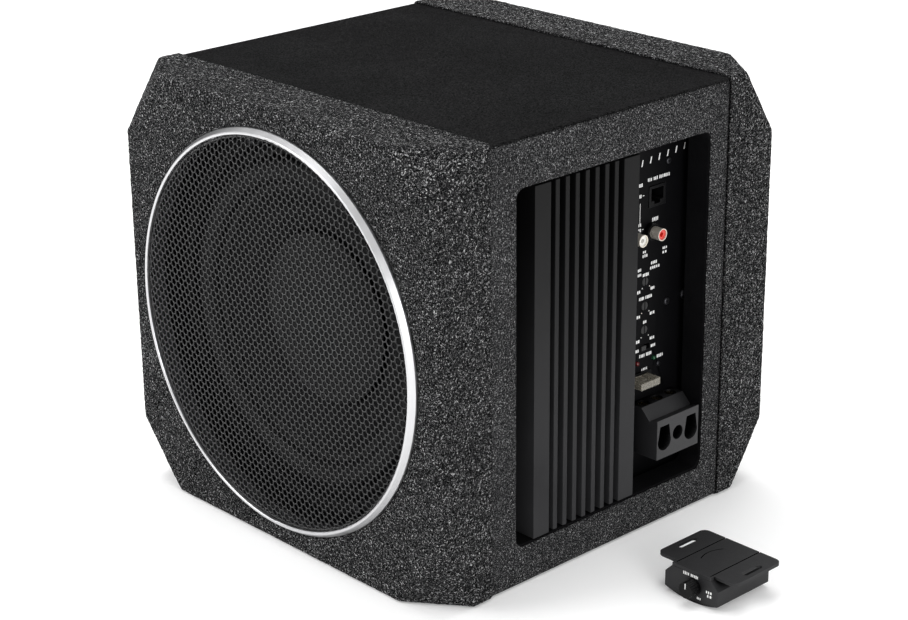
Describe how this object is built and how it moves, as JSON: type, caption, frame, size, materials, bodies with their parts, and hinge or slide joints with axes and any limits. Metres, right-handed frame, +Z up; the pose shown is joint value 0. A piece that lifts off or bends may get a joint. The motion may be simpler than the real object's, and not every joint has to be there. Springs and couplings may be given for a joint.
{
  "type": "powered car subwoofer",
  "caption": "Near-cube powered car subwoofer with carpeted cut-corner frames, ringed mesh grilles, a recessed finned amplifier and a knob remote.",
  "frame": {"origin": "centre of the box's underside, on the surface it stands on", "axes": "+Z up; -Y out of the woofer's grille, the front; +X out of the connector side"},
  "size_m": [0.4252, 0.318, 0.3],
  "materials": {
    "carpet": "needle felt, heathered dark grey",
    "wall_carpet": "thin speckled felt",
    "lid_skin": "fine matt grain",
    "board": "raw fibreboard",
    "black_board": "fibreboard stained black",
    "ring_metal": "satin",
    "mesh_metal": "satin black",
    "basket_metal": "textured black",
    "rubber": "matt",
    "cone_paper": "fibrous matt black",
    "cap_plastic": "satin black",
    "coil_copper": "enamelled copper wire",
    "spider_cloth": "resin-dipped cloth",
    "zinc_steel": "zinc plated",
    "ferrite": "sintered, matt",
    "black_screws": "black oxide",
    "plate_paint": "fine black powder coat",
    "sink_anodised": "black anodised",
    "housing_steel": "plain sheet",
    "board_green": "solder mask",
    "can_sleeve": "sleeved can",
    "winding_copper": "enamelled copper wire",
    "chip_plastic": "moulded epoxy",
    "black_plastic": "moulded, satin",
    "nickel": "bright nickel",
    "white_plastic": "glossy",
    "red_plastic": "glossy",
    "green_lens": "clear tinted",
    "red_lens": "clear tinted",
    "fuse_plastic": "cloudy",
    "block_plastic": "moulded, satin",
    "screw_brass": "plated",
    "wire_sleeve": "soft sleeve",
    "remote_plastic": "fine moulded grain",
    "remote_plate": "fine black powder coat",
    "knob_plastic": "satin"
  },
  "bodies": {
    "enclosure": {"front_frame": "black_board", "rear_frame": "black_board", "front_carpet": "carpet", "rear_carpet": "carpet", "top_panel": "board", "bottom_panel": "board", "left_panel": "board", "right_panel": "black_board", "top_cover": "lid_skin", "body_carpet": "wall_carpet", "front_grille_ring": "ring_metal", "rear_grille_ring": "ring_metal", "front_grille_mesh": "mesh_metal", "rear_grille_mesh": "mesh_metal", "woofer_basket": "basket_metal", "woofer_surround": "rubber", "spider": "spider_cloth", "top_plate": "zinc_steel", "magnet": "ferrite", "back_plate": "zinc_steel", "woofer_terminals": "black_plastic", "driver_screws": "black_screws", "passive_frame": "basket_metal", "passive_surround": "rubber", "amp_plate": "plate_paint", "heatsink": "sink_anodised", "amp_housing": "housing_steel", "circuit_board": "board_green", "capacitors": "can_sleeve", "toroid": "winding_copper", "transistors": "chip_plastic", "speaker_wires": "wire_sleeve", "rca_body": "black_plastic", "rca_shells": "nickel", "rca_insert_white": "white_plastic", "rca_insert_red": "red_plastic", "control_socket": "black_plastic", "control_bodies": "black_plastic", "power_led": "green_lens", "protect_led": "red_lens", "fuse_holder": "black_plastic", "terminal_block": "block_plastic", "panel_screws": "black_screws"},
    "woofer_cone_assembly": {"woofer_cone": "cone_paper", "dust_cap": "cap_plastic", "voice_coil": "coil_copper"},
    "passive_cone_assembly": {"passive_cone": "cone_paper"},
    "level_shaft": {"level_trimmer": "black_plastic"},
    "boost_shaft": {"boost_trimmer": "black_plastic"},
    "crossover_shaft": {"crossover_trimmer": "black_plastic"},
    "phase_thumb": {"phase_slider": "black_plastic"},
    "fuse_body": {"fuse": "fuse_plastic"},
    "power_clamp": {"power_screw": "screw_brass"},
    "ground_clamp": {"ground_screw": "screw_brass"},
    "remote_wire_clamp": {"remote_wire_screw": "screw_brass"},
    "remote": {"remote_case": "remote_plastic", "remote_bracket": "remote_plate", "remote_board": "board_green", "remote_socket": "black_plastic"},
    "remote_dial": {"remote_knob": "knob_plastic"}
  },
  "joints": [
    {"name": "woofer_travel", "type": "slide", "parent": "enclosure", "child": "woofer_cone_assembly", "axis": [0, -1, 0], "range_m": [-0.006, 0.006], "stiffness_N_per_m": 3000, "deforming": ["woofer_surround", "spider"]},
    {"name": "passive_travel", "type": "slide", "parent": "enclosure", "child": "passive_cone_assembly", "axis": [0, 1, 0], "range_m": [-0.007, 0.007], "stiffness_N_per_m": 2500, "deforming": ["passive_surround"]},
    {"name": "level_turn", "type": "hinge", "parent": "enclosure", "child": "level_shaft", "pos_m": [0.124, 0.0605, 0.1633], "axis": [1, 0, 0], "range_deg": [-135, 135]},
    {"name": "boost_turn", "type": "hinge", "parent": "enclosure", "child": "boost_shaft", "pos_m": [0.124, 0.0605, 0.146], "axis": [1, 0, 0], "range_deg": [-135, 135]},
    {"name": "crossover_turn", "type": "hinge", "parent": "enclosure", "child": "crossover_shaft", "pos_m": [0.124, 0.0605, 0.129], "axis": [1, 0, 0], "range_deg": [-135, 135]},
    {"name": "phase_slide", "type": "slide", "parent": "enclosure", "child": "phase_thumb", "axis": [0, 1, 0], "range_m": [0, 0.004]},
    {"name": "fuse_pull", "type": "slide", "parent": "enclosure", "child": "fuse_body", "axis": [1, 0, 0], "range_m": [0, 0.025]},
    {"name": "power_screw_turn", "type": "hinge", "parent": "enclosure", "child": "power_clamp", "pos_m": [0.131, 0.05415, 0.076], "axis": [0, 0, 1], "range_deg": [-90, 360]},
    {"name": "remote_wire_screw_turn", "type": "hinge", "parent": "enclosure", "child": "remote_wire_clamp", "pos_m": [0.131, 0.06745, 0.076], "axis": [0, 0, 1], "range_deg": [-90, 360]},
    {"name": "ground_screw_turn", "type": "hinge", "parent": "enclosure", "child": "ground_clamp", "pos_m": [0.131, 0.08075, 0.076], "axis": [0, 0, 1], "range_deg": [-90, 360]},
    {"name": "remote_place", "type": "slide", "parent": "enclosure", "child": "remote", "axis": [1, 0, 0], "range_m": [0, 0.1]},
    {"name": "remote_knob_turn", "type": "hinge", "parent": "remote", "child": "remote_dial", "pos_m": [0.2425, -0.02, 0.0115], "axis": [0, -1, 0], "range_deg": [-135, 135]}
  ]
}
